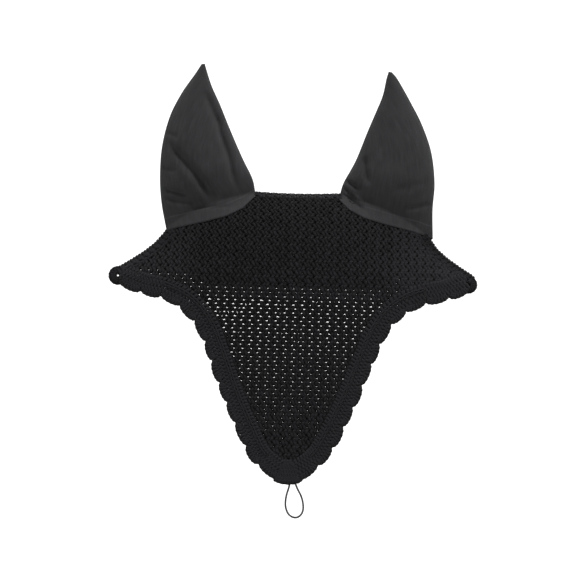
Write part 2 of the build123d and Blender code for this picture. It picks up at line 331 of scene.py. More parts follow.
def yarn_layout(start, place):
    """Twisted plies with fuzz and faded patches, with painted shade in the hollows of the stitch.
    """
    marks = start.node("ShaderNodeUVMap", {"uv_map": "strand"})
    around = start.node("ShaderNodeSeparateXYZ", {}, {0: marks}, 0)
    along = start.node("ShaderNodeSeparateXYZ", {}, {0: marks}, 1)
    plies = (around * YARN_PLIES + along * YARN_TWIST).sine() * 0.5 + 0.5
    fuzz = start.noise(place, YARN_FUZZ, 4.0)
    patches = start.noise(place, YARN_PATCHES)
    # Painted shade: the colour darkens with how deep the yarn lies in the stitch, read from lift
    lift = start.node("ShaderNodeAttribute", {"attribute_name": "lift"}, output=2)
    sockets = {"Value": lift, "From Min": PAINTED_SHADE_FULL_LIFT, "From Max": PAINTED_SHADE_NONE_LIFT}
    painted_shade_factor = start.node("ShaderNodeMapRange", {"interpolation_type": "SMOOTHSTEP"}, sockets)
    shade = (plies * 0.25 + fuzz * 0.35 + patches * 0.4) * 0.6 + 0.4
    colour = (shade * painted_shade_factor).between(YARN_DARK_AND_PAINTED_SHADE, YARN_LIGHT)
    return colour, plies * 0.7 + fuzz * 0.3, YARN_DEPTH


black_yarn = cloth_material("black_cotton_yarn", 0.01, 0.95, yarn_layout)


ROW = 4.5
ROW_LAP = 0.18
PITCH = 9.6
POST_LEAN = 1.5
POST_SINK = 0.55
POST_CROWN = 1.15
POST_ROLL = 0.35
POST_STRAY = 0.2
POST_UNEVEN = 0.13


def posts(x, walk, lean, facing, half_gap, radius):
    """Double posts, one row high, centred on each x: two strands that lean the same way.

    radius has one number for each x.
    """
    share = np.linspace(0, 1, 5)
    lines = []
    for hand in (-1, 1):
        jitter = rng.normal(0, POST_STRAY, (2, len(x)))
        across = x + hand * half_gap + jitter[0]
        slope = lean[:, None] * POST_LEAN * (2 * share - 1) * (1 + 0.1 * jitter[1][:, None])
        xs = across[:, None] + slope
        ws = walk[:, None] + ROW * (share * (1 + 2 * ROW_LAP) - ROW_LAP)
        roll = POST_ROLL * hand * lean[:, None] * (share - 0.5)
        rise = POST_CROWN * np.sin(math.pi * share) - POST_SINK + roll
        lines.append(on_skin(xs, height_at(ws), rise, facing))
    thick = np.tile(radius, 2) + rng.normal(0, POST_UNEVEN, 2 * len(x))
    return tubes(np.concatenate(lines), thick[:, None])


CHAIN_POINTS = 6
CHAIN_CROWN = 0.35
CHAIN_SINK = 0.5


def chain_row(walk, half, facing, shift, radius, slant):
    """The chain between two rows, tucked behind the posts and slanting across the holes."""
    count = max(int(2 * half / PITCH * CHAIN_POINTS), 4)
    x = np.linspace(-half, half, count)
    wave = 2 * math.pi * (x / PITCH - shift)
    down = walk + slant * np.sin(wave)
    rise = CHAIN_CROWN * np.cos(wave) - CHAIN_SINK
    return tubes(on_skin(x, height_at(down), rise, facing)[None], radius)


ROW_SHIFT = 0.27
ROW_STITCHES = 24
CHAIN_SLANT = 0.85
EDGE_CLEAR = 2
END_POST_CLEAR = 3
END_GAP = 4.5
HAND_TENSION = 0.0015
WING_TIGHTER = 0.4
WING_START = 100.0
WING_EASE = 30


def net_pieces(first, last, reach, facing, half_gap, post_radius, chain_radius,
               phase=0.0, tighter=0.0):
    """All rows of a net from one walk to another, as wide as reach(height) on each side.

    phase shifts its stitches sideways, and tighter is how much stouter the last row is.
    """
    found = []
    centres, walks, leans = [], [], []
    for row in range(math.floor(first / ROW + 0.01), math.floor(last / ROW + 0.01)):
        walk = row * ROW
        half = float(reach(height_at(walk + ROW / 2)))
        odd = row % 2
        x = np.arange(-ROW_STITCHES, ROW_STITCHES + 1)
        x = (x + 0.5 + phase + odd * ROW_SHIFT) * PITCH
        x = x[np.abs(x) < half - EDGE_CLEAR]
        for end in (-1, 1):
            if half - END_POST_CLEAR - np.max(end * x, initial=0) > END_GAP:
                x = np.append(x, end * (half - END_POST_CLEAR))
        centres.append(x)
        walks.append(np.full(len(x), walk))
        leans.append(np.full(len(x), 1.0 - 2 * odd))
        shift = phase + 0.5 + odd * ROW_SHIFT
        close = tighter * (walk - first) / (last - first)
        slant = CHAIN_SLANT * (1 - 2 * odd)
        found.append(chain_row(walk, float(reach(height_at(walk))), facing, shift,
                               chain_radius + close, slant))
    walks = np.concatenate(walks)
    centres = np.concatenate(centres)
    thick = post_radius + tighter * (walks - first) / (last - first) + HAND_TENSION * centres
    thick += WING_TIGHTER * np.clip((np.abs(centres) - WING_START) / WING_EASE, 0, 1)
    found.append(posts(centres, walks, np.concatenate(leans), facing, half_gap, thick))
    return found


# The line that the shell edging stands on, down one side from wing tip to point, and the seam
# of an ear cover, from its inner to its outer end
BORDER_POINTS = np.array([
    (196, -101), (170, -111), (143, -117), (118, -130), (99, -154),
    (84, -190), (70, -227), (54, -262), (36, -295), (11, -316)], float)
SEAM_X = np.array([46, 60, 77, 98, 119, 135, 150.0])
SEAM_Z = np.array([-4, -18, -26.5, -32, -36.5, -40, -45.0])


CURVE_SAMPLES = 40


def smooth_line(points, step):
    """A smooth curve through the points, resampled every step mm."""
    padded = np.concatenate([[2 * points[0] - points[1]], points, [2 * points[-1] - points[-2]]])
    share = np.linspace(0, 1, CURVE_SAMPLES, endpoint=False)[:, None]
    spans = []
    for a, b, c, d in zip(padded, padded[1:], padded[2:], padded[3:]):
        spans.append(0.5 * (2 * b + (c - a) * share + (2 * a - 5 * b + 4 * c - d) * share**2
                            + (3 * b - a - 3 * c + d) * share**3))
    fine = np.concatenate(spans + [points[-1:]])
    run = np.concatenate([[0], np.cumsum(np.linalg.norm(np.diff(fine, axis=0), axis=1))])
    at = np.arange(0, run[-1], step)
    return np.stack([np.interp(at, run, fine[:, k]) for k in range(fine.shape[1])], axis=1)


BORDER_STEP = 0.5
border = smooth_line(BORDER_POINTS, BORDER_STEP)
border_along = np.gradient(border, axis=0)
border_along /= np.linalg.norm(border_along, axis=1, keepdims=True)
border_in = np.stack([border_along[:, 1], -border_along[:, 0]], axis=1)
NET_UNDER_BAND = 12.5
NET_UNDER_HEM = 12.0
FOLD_CLEAR = 3.0
LEAST_REACH = 3
inner_line = border + border_in * NET_UNDER_BAND
inner_line = inner_line[np.argsort(-inner_line[:, 1])]


def front_reach(z):
    """Half width of the front net: up to the ear seams, the wing folds and under the border."""
    fold = np.interp(-z, FOLD_HEIGHTS, FOLD_HALVES) - FOLD_CLEAR
    if z > SEAM_Z[-1]:
        return np.minimum(fold, np.interp(-z, -SEAM_Z, SEAM_X) + NET_UNDER_HEM)
    if z > inner_line[0, 1]:
        return fold
    inside = np.interp(-z, -inner_line[:, 1], inner_line[:, 0])
    return np.minimum(fold, np.maximum(inside, LEAST_REACH))


CROWN_WALK = 13.5
brow = make_mesh("brow_net_crochet", net_pieces(
    CROWN_WALK, walk_to(FOLD_Z), front_reach, facing=-1, half_gap=1.85,
    post_radius=1.75, chain_radius=1.2, tighter=0.45), black_yarn)
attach(brow, "cap")
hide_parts("brow_net")


# Forehead net. The open triangle that hangs over the horse's forehead, in the same stitch as
# the brow and worked straight on from it, so it bends with the cap at the browband line.
NET_END = -309.0
forehead = make_mesh("forehead_net_crochet", net_pieces(
    walk_to(FOLD_Z), walk_to(NET_END), front_reach, facing=-1, half_gap=1.85,
    post_radius=1.82, chain_radius=1.4, tighter=0.5), black_yarn)
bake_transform(forehead)
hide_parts("forehead_net")


# Poll net. The back of the cap, which lies behind the ears. It is worked a little tighter,
# so no light comes through where it lies behind the brow net.
POLL_EDGE = np.array(
    [(92, -104), (108, -98), (124, -91), (150, -88), (172, -86), (204, -84)], float)
POLL_LAP = 3.0
POLL_END = -102


def back_reach(z):
    """Half width of the back net: up to the ear seams and wing folds, above its finished edge."""
    fold = np.interp(-z, FOLD_HEIGHTS, FOLD_HALVES) - FOLD_CLEAR
    if z > SEAM_Z[-1]:
        return np.minimum(fold, np.interp(-z, -SEAM_Z, SEAM_X) + NET_UNDER_HEM)
    edge = POLL_EDGE[::-1]
    return np.minimum(fold, np.interp(-z, -edge[:, 1] - POLL_LAP, edge[:, 0]))


poll = make_mesh("poll_net_crochet", net_pieces(
    CROWN_WALK, walk_to(POLL_END), back_reach, facing=1, half_gap=2.2,
    post_radius=2.2, chain_radius=1.9, phase=0.5), black_yarn)
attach(poll, "cap")
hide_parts("poll_net")


# Crown ridge. The rows that fold over the poll between the ears, worked in doubled yarn, so
# the fold is thick and its top edge is bumpy.
CROWN_HALF = 47.0
CROWN_RIGHT_END = 51.0
CROWN_SAG = 1.4
CROWN_ROWS = 3
CROWN_STITCHES = 6
CROWN_POST_GAP = 1.6
CROWN_POST_LEAN = 1.4
CROWN_POST_RISE = 1.7
CROWN_POST_SINK = 1.3
CROWN_POST_RADIUS = 2.0
CROWN_CHAIN_SINK = 0.9
CROWN_CHAIN_RADIUS = 1.5
CROWN_UPRIGHT = (0.02, 0.3, 1)


def over_crown(x, walk, rise):
    """Points on the fold over the poll: walk is negative in front of it and positive behind."""
    ahead = on_skin(x, height_at(walk), rise, -1)
    behind = on_skin(x, height_at(walk), rise, 1)
    sag = CROWN_SAG * (1 - (x / CROWN_HALF) ** 2)
    return np.where((walk < 0)[..., None], ahead, behind) - sag[..., None] * (0, 0, 1)


crown_pieces = []
for row in range(-CROWN_ROWS, CROWN_ROWS + 1):
    odd = row % 2
    x = (np.arange(-CROWN_STITCHES, CROWN_STITCHES) + 0.5 + odd * 0.5) * PITCH
    x = x[(x > -CROWN_HALF) & (x < CROWN_RIGHT_END)]
    share = np.linspace(0, 1, 6)
    for hand in (-1, 1):
        lean = (1 - 2 * odd) * CROWN_POST_LEAN * (2 * share - 1)
        xs = x[:, None] + hand * CROWN_POST_GAP + lean
        ws = np.broadcast_to((row + share * 1.5 - 0.75) * ROW, xs.shape)
        rise = NET_HALF + CROWN_POST_RISE * np.sin(math.pi * share) - CROWN_POST_SINK + 0 * xs
        crown_pieces.append(tubes(over_crown(xs, ws, rise), CROWN_POST_RADIUS, CROWN_UPRIGHT))
    x = np.linspace(-CROWN_HALF, CROWN_RIGHT_END, 74)
    wave = 2 * math.pi * x / PITCH
    ws = np.full(len(x), (row - 0.5) * ROW) + 0.5 * np.sin(wave)
    chain = over_crown(x, ws, NET_HALF - CROWN_CHAIN_SINK + 0 * x)
    crown_pieces.append(tubes(chain[None], CROWN_CHAIN_RADIUS, CROWN_UPRIGHT))
crown = make_mesh("crown_ridge_crochet", crown_pieces, black_yarn)
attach(crown, "cap")
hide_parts("crown_ridge")


# Poll edging. Two plain close rows and a beaded chain in the same black cotton, worked straight
# on from the poll net, finish its lower edge from wing to wing.
DENSE_HALF_POST = 2.7
DENSE_CROWN = 0.9
DENSE_SINK = 0.5
DENSE_STRAY = 0.1
THREAD_OFFSET = 2.3
THREAD_SINK = 0.6
THREAD_STEP = 6


def dense_rows(line, normal, depths, facing, spacing, radius, lean=0.8, under=1.3):
    """Close rows of stout posts that follow a line, each row at a distance inside it."""
    found = []
    step = max(int(round(spacing / BORDER_STEP)), 1)
    for number, depth in enumerate(depths):
        at = np.arange(step * (number % 2) // 2, len(line) - 1, step)
        tilt = lean * (1 - 2 * (number % 2))
        share = np.linspace(-1, 1, 5)
        inside = depth + DENSE_HALF_POST * share
        start = line[at][:, None] + normal[at][:, None] * inside[None, :, None]
        along = np.stack([-normal[at][:, 1], normal[at][:, 0]], axis=1)
        spots = start + along[:, None] * (tilt * share)[None, :, None]
        crown = NET_HALF + DENSE_CROWN * np.cos(share * math.pi / 2) - DENSE_SINK
        rise = crown + rng.normal(0, DENSE_STRAY, (len(at), 1))
        keep = np.sign(line[at][:, :1])
        xs = np.where(spots[..., 0] * keep < 0, 0, spots[..., 0])
        found.append(tubes(on_skin(xs, spots[..., 1], rise, facing), radius))
        thread = line[::THREAD_STEP] + normal[::THREAD_STEP] * (depth + THREAD_OFFSET)
        thread[:, 0] = np.where(thread[:, 0] * np.sign(line[0, 0]) < 0, 0, thread[:, 0])
        lifted = NET_HALF - THREAD_SINK + 0 * thread[:, 0]
        found.append(tubes(on_skin(thread[:, 0], thread[:, 1], lifted, facing)[None], under))
    return found


def line_frame(points, inward_sign):
    """A smooth line through points, with its unit normals on the chosen side."""
    line = smooth_line(points, BORDER_STEP)
    along = np.gradient(line, axis=0)
    along /= np.linalg.norm(along, axis=1, keepdims=True)
    return line, inward_sign * np.stack([along[:, 1], -along[:, 0]], axis=1)


edge_half = POLL_EDGE[:-1]
edge_points = np.concatenate([edge_half[::-1] * (-1, 1), [(-45, -105), (45, -105)], edge_half])
edge_line, edge_in = line_frame(edge_points, -1)
edging_pieces = dense_rows(
    edge_line, edge_in, (2.0, 6.0), facing=1, spacing=4.0, radius=2.0)
BEAD_STEP = 8
beads = edge_line[::BEAD_STEP]
bead_run = on_skin(beads[:, 0], beads[:, 1], NET_HALF + 0 * beads[:, 0], 1)
bead_radius = 1.5 + 0.35 * np.sin(np.arange(len(beads)) * math.pi / 1.1)
edging_pieces.append(tubes(bead_run[None], bead_radius))
edging = make_mesh("poll_edging_crochet", edging_pieces, black_yarn)
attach(edging, "cap")
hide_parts("poll_edging")


# Borders. A dense band four rows deep runs inside the shell edging on each side, first along
# the wing and then down the triangle, where one chain line stands up on it.
BAND_ROWS = (2.0, 6.2, 10.4, 14.6)
BAND_SPACING = 4.0
BAND_RADIUS = 2.1
BAND_LAP = 6
WING_SHARE = int(np.argmax(border[:, 1] < FOLD_Z))
CHAIN_INSET = 11.2
CHAIN_SPREAD = 1.5
CHAIN_LIFT = 1.3
CHAIN_ARCH = 0.7
CHAIN_RADIUS = 0.95
LINK_STEP = 11
LINK_LENGTH = 17
for side, name in ((-1, "left"), (1, "right")):
    line = border * (side, 1)
    normal = border_in * (side, 1)
    wing_end = WING_SHARE + BAND_LAP
    wing = make_mesh(f"{name}_wing_band_crochet", dense_rows(
        line[:wing_end], normal[:wing_end], BAND_ROWS, -1, BAND_SPACING, BAND_RADIUS), black_yarn)
    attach(wing, "cap")
    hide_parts(f"{name}_wing_band")
    band = make_mesh(f"{name}_border_band_crochet", dense_rows(
        line[WING_SHARE:], normal[WING_SHARE:], BAND_ROWS, -1, BAND_SPACING, BAND_RADIUS),
        black_yarn)
    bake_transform(band)
    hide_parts(f"{name}_border_band")
    first = np.arange(WING_SHARE - 40, len(border) - 60, LINK_STEP)
    share = np.linspace(0, 1, 7)
    at = np.minimum(first[:, None] + (share * LINK_LENGTH).astype(int), len(border) - 1)
    links = []
    for hand in (-1, 1):
        offset = CHAIN_INSET + hand * CHAIN_SPREAD * np.sin(math.pi * share) ** 0.8
        spots = line[at] + normal[at] * offset[None, :, None]
        arch = NET_HALF + CHAIN_LIFT + CHAIN_ARCH * np.sin(math.pi * share)
        rise = arch + 0 * spots[..., 0]
        links.append(tubes(on_skin(spots[..., 0], spots[..., 1], rise, -1), CHAIN_RADIUS))
    chain = make_mesh(f"{name}_ridge_chain_crochet", links, black_yarn)
    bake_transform(chain)
    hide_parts(f"{name}_ridge_chain")


# Shell edging. Fans of eight stitches worked into one stitch of the border, rimmed by a chain,
# each fan leaning a little down the edge. The wing ends in a round lobe with an eyelet.
SHELLS = 12
SHELLS_ON_WING = 2
SHELL_RISE = 7.2
SHELL_RISE_STRAY = 0.5
SHELL_LEAN = 0.1
SHELL_LEAN_STRAY = 0.07
SHELL_STEP_STRAY = 2.0
FIRST_SHELL_RISE = 7.4
FIRST_SHELL_LEAN = 0.12
FAN_SPREAD = 1.3
FAN_FOOT = 1.5
FAN_RADIUS = 1.6
FAN_SWELL = 0.6
RIM_SPREAD = 1.5
RIM_RADIUS = 1.25
RIM_BEAD = 0.25
RIM_BEAD_ANGLE = 0.42


def shell_fan(start, end, outward, rise, lean, count=8):
    """One fan between two points of an edge, with its rim."""
    middle = (start + end) / 2
    half = np.linalg.norm(end - start) / 2
    along = (end - start) / (2 * half)
    angles = np.linspace(-FAN_SPREAD, FAN_SPREAD, count)
    share = np.linspace(0, 1, 5)
    rim_x = half * 0.93 * np.sin(angles) + lean * half * np.cos(angles)
    rim_y = rise * np.cos(angles) ** 0.6
    foot_x = half * 0.5 * np.sin(angles)
    xs = foot_x[:, None] + (rim_x - foot_x)[:, None] * share
    ys = -FAN_FOOT + (rim_y - 0.9 + FAN_FOOT)[:, None] * share
    spots = middle + along * xs[..., None] + outward * ys[..., None]
    lift = NET_HALF - 0.3 + 0.8 * np.sin(math.pi * share) + 0 * xs
    thick = FAN_RADIUS + FAN_SWELL * share + 0 * xs
    fan = tubes(on_skin(spots[..., 0], spots[..., 1], lift, -1), thick)
    turn = np.linspace(-RIM_SPREAD, RIM_SPREAD, 29)
    rim_x = half * 0.97 * np.sin(turn) + lean * half * np.cos(turn)
    rim_y = rise * np.abs(np.cos(turn)) ** 0.6 - 0.7
    spots = middle + along * rim_x[:, None] + outward * rim_y[:, None]
    bead = RIM_RADIUS + RIM_BEAD * np.cos(turn * 2 * math.pi / RIM_BEAD_ANGLE)
    rim = tubes(on_skin(spots[..., 0], spots[..., 1], NET_HALF + 0 * turn, -1)[None], bead[None])
    return [fan, rim]


# Each lobe's centre, across and up, its radius and its eyelet's radius
LOBES = {"left": (199.0, -97.0, 9.3, 1.7), "right": (197.3, -98.0, 8.6, 0.8)}
LOBE_STITCHES = 15
LOBE_LAYER = 1.7
LOBE_STITCH_RADIUS = 1.35
LOBE_RIM_RADIUS = 1.5
EYELET_RIM_RADIUS = 1.1
LOBE_BEAD = 0.14


def lobe_rosette(name, side):
    """The round lobe: two layers of stitches around an eyelet, rimmed like the fans."""
    *centre, outer, eyelet = LOBES[name]
    angles = np.arange(LOBE_STITCHES) * 2 * math.pi / LOBE_STITCHES
    share = np.linspace(0, 1, 4)
    found = []
    for level in (LOBE_LAYER, -LOBE_LAYER):
        reach = eyelet + 0.6 + (outer - eyelet - 1.6) * share
        x = centre[0] * side + np.cos(angles)[:, None] * reach
        z = centre[1] + np.sin(angles)[:, None] * reach
        y = np.full_like(x, -level) + 0.6 * np.sign(level) * (share - 0.5)
        thick = LOBE_STITCH_RADIUS + 0.7 * share + 0 * x
        found.append(tubes(np.stack([x, y, z], -1), thick))
    for reach, radius in ((outer, LOBE_RIM_RADIUS), (eyelet + 0.4, EYELET_RIM_RADIUS)):
        turn = np.linspace(0, 2 * math.pi, 41)
        bead = radius * (1 + LOBE_BEAD * np.cos(turn * LOBE_STITCHES))
        ring = np.stack([centre[0] * side + reach * np.cos(turn), 0 * turn,
                         centre[1] + reach * np.sin(turn)], -1)
        found.append(tubes(ring[None], bead[None]))
    return found


for side, name in ((-1, "left"), (1, "right")):
    at = np.linspace(0, len(border) - 1, SHELLS + 1)
    at[1:-1] += rng.normal(0, SHELL_STEP_STRAY, SHELLS - 1)
    at = at.astype(int)
    corners = border[at] * (side, 1)
    outward = -border_in * (side, 1)
    fans = []
    for a, b, i, j in zip(corners, corners[1:], at, at[1:]):
        rise = SHELL_RISE + rng.normal(0, SHELL_RISE_STRAY)
        lean = rng.normal(SHELL_LEAN, SHELL_LEAN_STRAY)
        fans.append(shell_fan(a, b, outward[(i + j) // 2], rise, lean))
    fans[0] = shell_fan(
        corners[0], corners[1], outward[at[1] // 2], FIRST_SHELL_RISE, FIRST_SHELL_LEAN)
    wing_fans = sum(fans[:SHELLS_ON_WING], []) + lobe_rosette(name, side)
    # least=2.4 keeps the painted hollow shade light on the wing scallops and lobe
    wing_edging = make_mesh(
        f"{name}_wing_scallops_crochet", wing_fans, black_yarn, least=2.4)
    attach(wing_edging, "cap")
    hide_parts(f"{name}_wing_scallops")
    veil_fans = sum(fans[SHELLS_ON_WING:], [])
    veil_edging = make_mesh(f"{name}_scallops_crochet", veil_fans, black_yarn)
    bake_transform(veil_edging)
    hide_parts(f"{name}_scallops")


# Point of the triangle. One wide fan of the same cotton closes it, over a gusset of close rows.
# The elastic's two ends pass through the gusset and are tied in a knot behind it.
TIP_Z = -317.0
TIP_HALF = 16.0
TIP_RISE = 8.2
TIP_STITCHES = 13
tip_ends = np.array([(TIP_HALF, TIP_Z + 1.0), (-TIP_HALF, TIP_Z + 1.0)])
tip_pieces = shell_fan(
    tip_ends[0], tip_ends[1], np.array([0.0, -1.0]), TIP_RISE, 0.0, TIP_STITCHES)
GUSSET_ROWS = (-1.5, 2.2, 5.9, 9.6, 13.3, 17.0)
GUSSET_HALF = 13.0
GUSSET_SLOPE = 0.5
GUSSET_PITCH = 3.1
GUSSET_HALF_POST = 2.6
GUSSET_RADIUS = 2.1
for level in GUSSET_ROWS:
    half = GUSSET_HALF - GUSSET_SLOPE * level
    x = np.arange(-half, half + 0.1, GUSSET_PITCH)
    share = np.linspace(-1, 1, 5)
    rise = NET_HALF + 0.8 * np.cos(share * math.pi / 2) - 0.4 + 0 * x[:, None]
    xs = x[:, None] + 0.5 * share
    zs = TIP_Z + level + GUSSET_HALF_POST * share + 0 * xs
    tip_pieces.append(tubes(on_skin(xs, zs, rise, -1), GUSSET_RADIUS))
tip = make_mesh("tip_scallop_crochet", tip_pieces, black_yarn)
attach(tip, "veil")
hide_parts("tip_scallop")

# An overhand knot is a trefoil: its line goes round twice while it weaves in and out three times
KNOT_WIDTH = 1.45
KNOT_HEIGHT = 1.25
KNOT_CROSSING = 1.6
KNOT_WEAVE = 2.0
KNOT_FORWARD = 1.6
KNOT_CORD_RADIUS = 1.1
END_SPREAD = 2.0
END_ARCH = 1.6
turn = np.linspace(0, 2 * math.pi, 61)
knot_x, knot_y, knot_z = ((a + b) / 2 / MM for a, b in zip(*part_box("loop_knot")))
knot_line = np.stack([
    knot_x + KNOT_WIDTH * (np.sin(turn) + KNOT_CROSSING * np.sin(2 * turn)),
    knot_y - KNOT_FORWARD - KNOT_WEAVE * np.sin(3 * turn),
    knot_z + KNOT_HEIGHT * (np.cos(turn) - KNOT_CROSSING * np.cos(2 * turn))], -1)
knot_pieces = [tubes(knot_line[None], KNOT_CORD_RADIUS, sides=10)]
for (x, z), inward in ((LOOP_ROUTE[0], 1), (LOOP_ROUTE[-1], -1)):
    share = np.linspace(0, 1, 9)
    through = np.stack([
        x / MM + inward * END_SPREAD * share,
        LOOP_Y / MM + (knot_y - LOOP_Y / MM) * share,
        z / MM + END_ARCH * np.sin(math.pi * share) + (knot_z - z / MM) * share], -1)
    knot_pieces.append(tubes(through[None], KNOT_CORD_RADIUS, (0, 0, 1), sides=10))
knot = make_mesh("loop_knot_cord", knot_pieces, elastic)
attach(knot, "veil")
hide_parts("loop_knot")


# Wing edges. The cap's cloth is folded double along the top of each wing, and close stitches
# wrap the fold from front to back.
WING_TOP = -42.0
WING_BOTTOM = -91.0
WRAP_SPACING = 3.7
WRAP_DEPTH = 7.5
WRAP_SLANT = 1.2
WRAP_RADIUS = 2.4
EDGE_PROUD = 1.4
EAR_SWING = 2.4
EAR_SWING_RUN = 9
EDGE_ROWS = (4.5, 8.5)
EDGE_ROW_RADIUS = 1.7
for side, name in ((-1, "left"), (1, "right")):
    heights = np.arange(WING_TOP, WING_BOTTOM, -0.2)
    halves = np.interp(-heights, FOLD_HEIGHTS, FOLD_HALVES)
    fold_run = np.concatenate([[0], np.cumsum(np.hypot(np.diff(heights), np.diff(halves)))])
    at = np.searchsorted(fold_run, np.arange(0, fold_run[-1], WRAP_SPACING))
    lean = np.tile([1.0, -1.0], len(at))[:len(at), None]
    share = np.linspace(-1, 1, 9)
    inset = WRAP_DEPTH * np.abs(share) ** 1.2
    inward = np.stack([-np.ones(len(at)), np.full(len(at), -0.75)], -1) / 1.25
    swing = side * (EDGE_PROUD + EAR_SWING * np.exp((heights[at] - WING_TOP) / EAR_SWING_RUN))
    x = (halves[at] + swing)[:, None] + inward[:, :1] * inset
    z = heights[at][:, None] + inward[:, 1:] * inset + lean * share * WRAP_SLANT
    deep = depth_at(x, z) - NET_HALF + 1.0
    y = np.sign(share) * np.maximum(deep, 2.2 * np.sqrt(np.abs(share)))
    wraps = [tubes(np.stack([side * x, y, z], -1), WRAP_RADIUS, (0, 0, 1))]
    for depth in EDGE_ROWS:
        for facing in (-1, 1):
            row_x = halves[at] + swing + inward[:, 0] * depth
            row_z = heights[at] + inward[:, 1] * depth
            run = on_skin(side * row_x, row_z, NET_HALF - 0.4 + 0 * row_x, facing)
            wraps.append(tubes(run[None], EDGE_ROW_RADIUS))
    wing_edge = make_mesh(f"{name}_wing_edge_crochet", wraps, black_yarn)
    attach(wing_edge, "cap")
    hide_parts(f"{name}_wing_edge")


# Ear covers. Each is cut from two panels of fine charcoal stretch cloth, sewn together along
# its outer and inner edges and hemmed where it is sewn to the crochet. Worn empty, it creases.
CLOTH_WEAVE = 7.5
CLOTH_STREAKS = 0.45
STREAK_STRETCH = 0.12
CLOTH_PATCHES = 30.0
CLOTH_DARK = (0.0010, 0.0010, 0.0013)
CLOTH_LIGHT = (0.0215, 0.0215, 0.0227)
CLOTH_DEPTH = 0.0002


def cloth_layout(start, place):
    """A fine weave with faint streaks up the cloth and faded patches."""
    marks = start.node("ShaderNodeUVMap", {"uv_map": "strand"})
    across = start.node("ShaderNodeSeparateXYZ", {}, {0: marks}, 0)
    along = start.node("ShaderNodeSeparateXYZ", {}, {0: marks}, 1)
    weave = (across * CLOTH_WEAVE).sine() * (along * CLOTH_WEAVE).sine() * 0.5 + 0.5
    sockets = {"Vector": marks, "Scale": (1.0, STREAK_STRETCH, 1.0)}
    stretched = start.node("ShaderNodeMapping", {}, sockets)
    streaks = start.noise(stretched, CLOTH_STREAKS, 5.0)
    patches = start.noise(place, CLOTH_PATCHES)
    shade = weave * 0.2 + streaks * 0.6 + patches * 0.2
    return shade.between(CLOTH_DARK, CLOTH_LIGHT), weave, CLOTH_DEPTH


ear_cloth = cloth_material("charcoal_stretch_cloth", 0.03, 0.85, cloth_layout)
EAR_CLOTH = 0.9
HEM_CLOTH = 1.0
HEM_ROWS = 9
# Sections of each cover from base to tip: outer edge, inner edge and half depth
EAR_STATIONS = {
    "left": np.array([
        (-144.5, -45, -46, -4, 20), (-151, -14, -50.5, 17, 23), (-153.5, 16, -62.8, 40, 22),
        (-152, 50, -78, 73, 19), (-144, 84, -88.8, 98, 14), (-131, 111, -98.8, 119, 9),
        (-117, 132, -104.8, 136, 4), (-109.5, 144, -107.5, 144.5, 1.2)], float),
    "right": np.array([
        (155, -47.5, 49, -4, 20), (154, -14, 54, 15, 23), (155.5, 16, 66.8, 38, 22),
        (151, 50, 79, 70, 19), (140.2, 80, 87.8, 92, 14), (127, 105, 95.8, 113, 9),
        (111.5, 131, 99.6, 132, 4), (104, 140, 102, 140.5, 1.2)], float),
}
# Creases on each front: from, to, width and depth. A negative depth is a ridge. On the backs
# they are half as deep and turned about.
EAR_CREASES = {
    "left": (
        ((-144, 53), (-96, -4), 5.2, 8.0), ((-148, 56), (-106, -2), 6.5, -2.0),
        ((-104, 110), (-88, 72), 4.0, 4.0), ((-91, 80), (-67, 6), 3.8, 5.4),
        ((-147, 1), (-122, -5), 2.6, 4.0), ((-146, -9), (-112, -14), 2.8, 3.4),
        ((-122, -19), (-70, -17), 2.2, 2.4), ((-152, 26), (-136, 22), 2.6, 1.6),
        ((-148, 66), (-134, 60), 3.0, 1.8),
    ),
    "right": (
        ((77, 42), (81, 14), 3.0, 5.0), ((70, 46), (72, 12), 4.0, -2.0),
        ((56, 17), (71, 7), 2.2, 4.2), ((54, 8), (66, -2), 2.0, 3.0),
        ((57, -2), (77, -16), 2.2, 4.4), ((60, 4), (74, -6), 2.0, -1.6),
        ((124, -14), (153, -8), 3.0, 2.0), ((111, 6), (148, 16), 5.0, 1.4),
        ((96, 92), (93, 44), 3.2, 2.2), ((106, 84), (104, 36), 4.0, 1.6),
        ((122, 80), (118, 30), 5.0, 1.4),
    ),
}


def ear_stations(name, v):
    """Outer edge, inner edge and half depth of an ear cover at shares of its height."""
    table = EAR_STATIONS[name]
    heights = (table[:, 1] + table[:, 3]) / 2
    fine = smooth_line(np.column_stack([heights, table]), 0.5)
    run = np.linspace(0, 1, len(fine))
    return [np.interp(v, run, fine[:, k]) for k in range(1, 6)]


BASE_SHARE = 0.3
WAVE_RUN = 9.0


def ear_surface(name, u, v, facing, lift=0.0):
    """Points of one panel: u from the outer edge to the inner edge, v from the seam to the tip.

    Near its base, low is 1 and the cover lies on the cap, with its edge bowed like the seam.
    """
    outer_x, outer_z, inner_x, inner_z, deep = ear_stations(name, v)
    x = outer_x + (inner_x - outer_x) * u
    z = outer_z + (inner_z - outer_z) * u
    low = np.clip(1 - v / BASE_SHARE, 0, 1) ** 1.5
    seam_share = (np.abs(x) - SEAM_X[0]) / (SEAM_X[-1] - SEAM_X[0])
    straight_seam = SEAM_Z[0] + (SEAM_Z[-1] - SEAM_Z[0]) * seam_share
    bow = np.interp(np.abs(x), SEAM_X, SEAM_Z) - straight_seam
    z = z + low * np.minimum(bow, 0)
    bulge = (4 * u * (1 - u)) ** 0.75
    base = depth_at(x, z) + 0.6
    y = low * np.maximum(base, 0.4 * bulge) + (1 - low) * deep * bulge
    for (ax, az), (bx, bz), width, depth in EAR_CREASES[name]:
        run = np.hypot(bx - ax, bz - az)
        tx, tz = (bx - ax) / run, (bz - az) / run
        s = (x - ax) * tx + (z - az) * tz
        d = (x - ax) * -tz + (z - az) * tx + 0.6 * np.sin(s / WAVE_RUN)
        fade = np.clip(np.minimum(s, run - s) / (0.3 * run) + 0.35, 0, 1)
        scale = 1.0 if facing < 0 else -0.5
        y = y - scale * depth * fade * np.exp(-(d / width) ** 2) * np.minimum(4 * bulge, 1)
    return np.stack([x, facing * (y + lift), z], -1)


